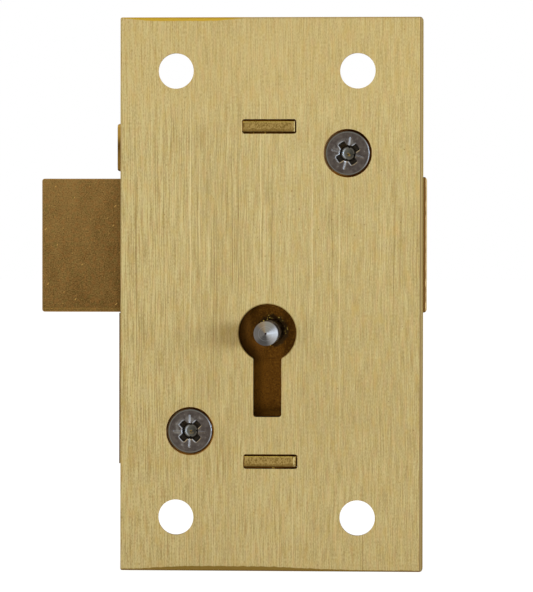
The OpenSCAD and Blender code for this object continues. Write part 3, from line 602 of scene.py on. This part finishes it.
# The case screws: dark zinc plating
def screw_head(f, r, u, v, dx, dz, cloud):
    """The flat of a screw's head, its tick marks along u and v, and its edge."""
    # rubbed patches, most of all towards the upper left
    rub = f.both(f.between(cloud, 0.58, 0.7), f.between(r, 1.1, 1.4), f.between(r, 2.2, 1.9))
    f.paint(rub, (140, 136, 132), 0.6)
    wear_and_highlight = f.both(f.near(r, 1.4, 0.15, 0.35), f.between(f.calc("SUBTRACT", dz, dx), -0.4, 1.2))
    f.paint(f.both(wear_and_highlight, f.between(cloud, 0.35, 0.6)), (132, 131, 127), 0.5)
    # the edges of the recess: painted highlights where they face up and where they face right
    wide = f.bevel(0.3, samples=8)
    bx, _, bz = f.parts(wide)
    beside = f.between(f.absolute(v), 0.12, 0.22)
    f.paint_rows(
        f.both(f.edge(wide), f.between(r, 2.0, 1.8), f.between(f.y, 0.4, 0.2)),
        ((186, 168, 134), 0.8, beside, f.between(bz, 0.05, 0.25)),
        ((190, 196, 204), 0.85, f.between(bx, 0.04, 0.2)),
    )
    # tick marks painted bright, as wear and painted highlight, those above and below more than
    # those beside
    for along, across, level in ((v, u, 0.55), (u, v, 0.15)):
        out = f.absolute(along)
        width = f.between(out, 1.1, 1.95, 0.13, 0.02)
        tick = f.both(f.between(f.absolute(across), width, 0.01), f.near(out, 1.38, 0.4, 0.15))
        f.paint(tick, (196, 198, 202), level)
    # the edge is light, with painted highlights brightest on the right and on the left, and brown
    # outside that
    right = f.both(f.near(r, SCREW_HEAD_R - 0.14, 0.04, 0.05), f.between(dx, 1.6, 2.4))
    left = f.both(f.between(r, SCREW_HEAD_R - 0.11, SCREW_HEAD_R - 0.06), f.between(dx, 0.6, -0.8))
    f.paint(f.near(r, SCREW_HEAD_R - 0.15, 0.06, 0.05), (106, 106, 100))
    f.paint(right, (168, 174, 182), 0.75)
    f.paint(f.between(r, SCREW_HEAD_R - 0.05, SCREW_HEAD_R - 0.02), (130, 106, 74), 0.8)
    f.paint(left, (176, 170, 150), 0.9)


def screw_recess(f, r, dx, dz, glint):
    """The recess's walls, painted lighter where they lie in shade, a dark ring of painted shade
    round its floor, and the floor painted lighter on the left than on the right, with a painted
    glint and a painted golden glint.
    """
    deep = f.between(f.y, 0.3, 0.6)
    f.paint(deep, (124, 118, 108))
    f.paint(f.both(deep, f.near(r, 0.8, 0.08, 0.05)), (56, 52, 46))
    floor = f.both(f.between(f.y, 1.12, 1.2), f.between(r, 0.7, 0.62))
    f.paint(floor, f.tint(f.between(dx, -0.1, 0.5), (98, 96, 86), (70, 68, 60)))
    middle = (f.near(dx, 0.06, 0.1, 0.2), f.near(dz, -0.14, 0.08, 0.2))
    f.paint_rows(
        floor,
        ((170, 178, 184), 0.9, f.near(r, 0.56, 0.04, 0.08), f.between(dx, -0.1, -0.5)),
        ((168, 138, 74), 0.9, f.both(*middle, f.between(glint, 0.42, 0.6))),
    )


def screw_finish(name):
    cx, cz, turn = SCREWS[name]
    f = Finish(name + "_zinc", light=LIGHT)
    r, dx, dz = f.about(cx, cz)
    c, s = math.cos(turn), math.sin(turn)
    u = f.scaled(dx, c, f.calc("MULTIPLY", dz, s))
    v = f.scaled(dz, c, f.calc("MULTIPLY", dx, -s))
    cloud = f.noise(0.7, 3.0, 0.6, (cx, 0, cz))
    grit = f.noise(0.14, 1.0)
    glint = f.noise(0.2, 1.0, 0.5, (cz, 0, cx))
    f.start(f.between(cloud, 0.35, 0.65), (73, 66, 62), (91, 84, 78))
    screw_head(f, r, u, v, dx, dz, cloud)
    screw_recess(f, r, dx, dz, glint)
    f.wear(Roughness=0.34, Normal=f.bump(grit, 0.008, f.bevel(0.07, samples=8)))
    f.give(name)


def direction(azimuth, elevation):
    """The way out from the lock, in degrees to the right of the plate's normal and up from it."""
    a, e = math.radians(azimuth), math.radians(elevation)
    return Vector((math.sin(a) * math.cos(e), -math.cos(a) * math.cos(e), math.sin(e)))


def looking_back(away):
    return (-away).to_track_quat("-Z", "Y")


def add_camera(azimuth, elevation, roll, distance, aim, lens):
    away = direction(azimuth, elevation)
    data = bpy.data.cameras.new("camera")
    data.lens = lens
    data.sensor_width = 36
    data.clip_start = 0.01
    data.clip_end = 50
    camera = bpy.data.objects.new("camera", data)
    camera.location = Vector(aim) + away * distance
    turn = looking_back(away) @ Quaternion((0, 0, 1), math.radians(roll))
    camera.rotation_euler = turn.to_euler()
    bpy.context.scene.collection.objects.link(camera)
    bpy.context.scene.camera = camera


def add_area(name, azimuth, elevation, distance, width, height, level, colour=(1, 1, 1)):
    """A rectangular lamp that faces the lock, with a face as bright as level, where 1 is white."""
    away = direction(azimuth, elevation)
    data = bpy.data.lights.new(name, "AREA")
    data.shape = "RECTANGLE"
    data.size, data.size_y = width, height
    data.energy = level * math.pi * width * height
    data.color = colour
    lamp = bpy.data.objects.new(name, data)
    lamp.location = away * distance
    lamp.rotation_euler = looking_back(away).to_euler()
    bpy.context.scene.collection.objects.link(lamp)


def add_shader(tree, kind, **inputs):
    node = tree.nodes.new(kind)
    for name, value in inputs.items():
        node.inputs[name].default_value = value
    return node.outputs[0]


def grey(value):
    return (value, value, value, 1)


def seen_directly(tree):
    """1 for what is seen straight on, in metal or through glass, 0 for what lights the lock."""
    path = tree.nodes.new("ShaderNodeLightPath")
    out = path.outputs["Is Camera Ray"]
    for name in ("Is Glossy Ray", "Is Transmission Ray"):
        most = tree.nodes.new("ShaderNodeMath")
        most.operation = "MAXIMUM"
        tree.links.new(out, most.inputs[0])
        tree.links.new(path.outputs[name], most.inputs[1])
        out = most.outputs[0]
    return out


def show_apart(tree, output, lighting, seen):
    """Ends the tree: lighting is what lights the lock, seen is what shows directly or in metal."""
    mix = tree.nodes.new("ShaderNodeMixShader")
    for socket, source in zip(mix.inputs, (seen_directly(tree), lighting, seen)):
        tree.links.new(source, socket)
    tree.links.new(mix.outputs[0], tree.nodes.new(output).inputs[0])


def add_world(level):
    world = bpy.data.worlds.new("studio")
    bpy.context.scene.world = world
    world.use_nodes = True
    tree = world.node_tree
    tree.nodes.clear()
    soft = add_shader(tree, "ShaderNodeBackground", Color=grey(1), Strength=level)
    white = add_shader(tree, "ShaderNodeBackground", Color=grey(1), Strength=1.0)
    show_apart(tree, "ShaderNodeOutputWorld", soft, white)


def add_floor(z, half):
    mesh = bpy.data.meshes.new("floor")
    corners = [(-half, -half, z), (half, -half, z), (half, half, z), (-half, half, z)]
    mesh.from_pydata(corners, [], [(0, 1, 2, 3)])
    floor = bpy.data.objects.new("floor", mesh)
    bpy.context.scene.collection.objects.link(floor)
    material = bpy.data.materials.new("floor_white")
    material.use_nodes = True
    tree = material.node_tree
    tree.nodes.clear()
    matt = add_shader(tree, "ShaderNodeBsdfDiffuse", Color=grey(0.85))
    faint = add_shader(tree, "ShaderNodeBsdfDiffuse", Color=grey(0.35))
    glow = add_shader(tree, "ShaderNodeEmission", Strength=0.85)
    glowing = tree.nodes.new("ShaderNodeAddShader")
    tree.links.new(faint, glowing.inputs[0])
    tree.links.new(glow, glowing.inputs[1])
    show_apart(tree, "ShaderNodeOutputMaterial", matt, glowing.outputs[0])
    mesh.materials.append(material)


plate_finish()
case_finish()
bolt_finish()
lever_finish()
add_springs()
turned_finish()
pin_finish()
for screw in SCREWS:
    screw_finish(screw)

# The camera stands a little to the right of the plate's normal and a little above it
add_camera(
    azimuth=3.2, elevation=0.9, roll=0.07, distance=0.39, aim=(0, 0, -0.00018), lens=205.4,
)
add_area(
    "key", azimuth=64, elevation=0, distance=0.8, width=0.5, height=0.3, level=11.5,
    colour=(0.8, 1.0, 1.3),
)
add_area("top", azimuth=0, elevation=60, distance=0.8, width=0.4, height=0.3, level=1.0)
add_world(level=0.6)
add_floor(z=cad_bounds[0][2], half=3)

bpy.context.scene.view_settings.view_transform = "Standard"
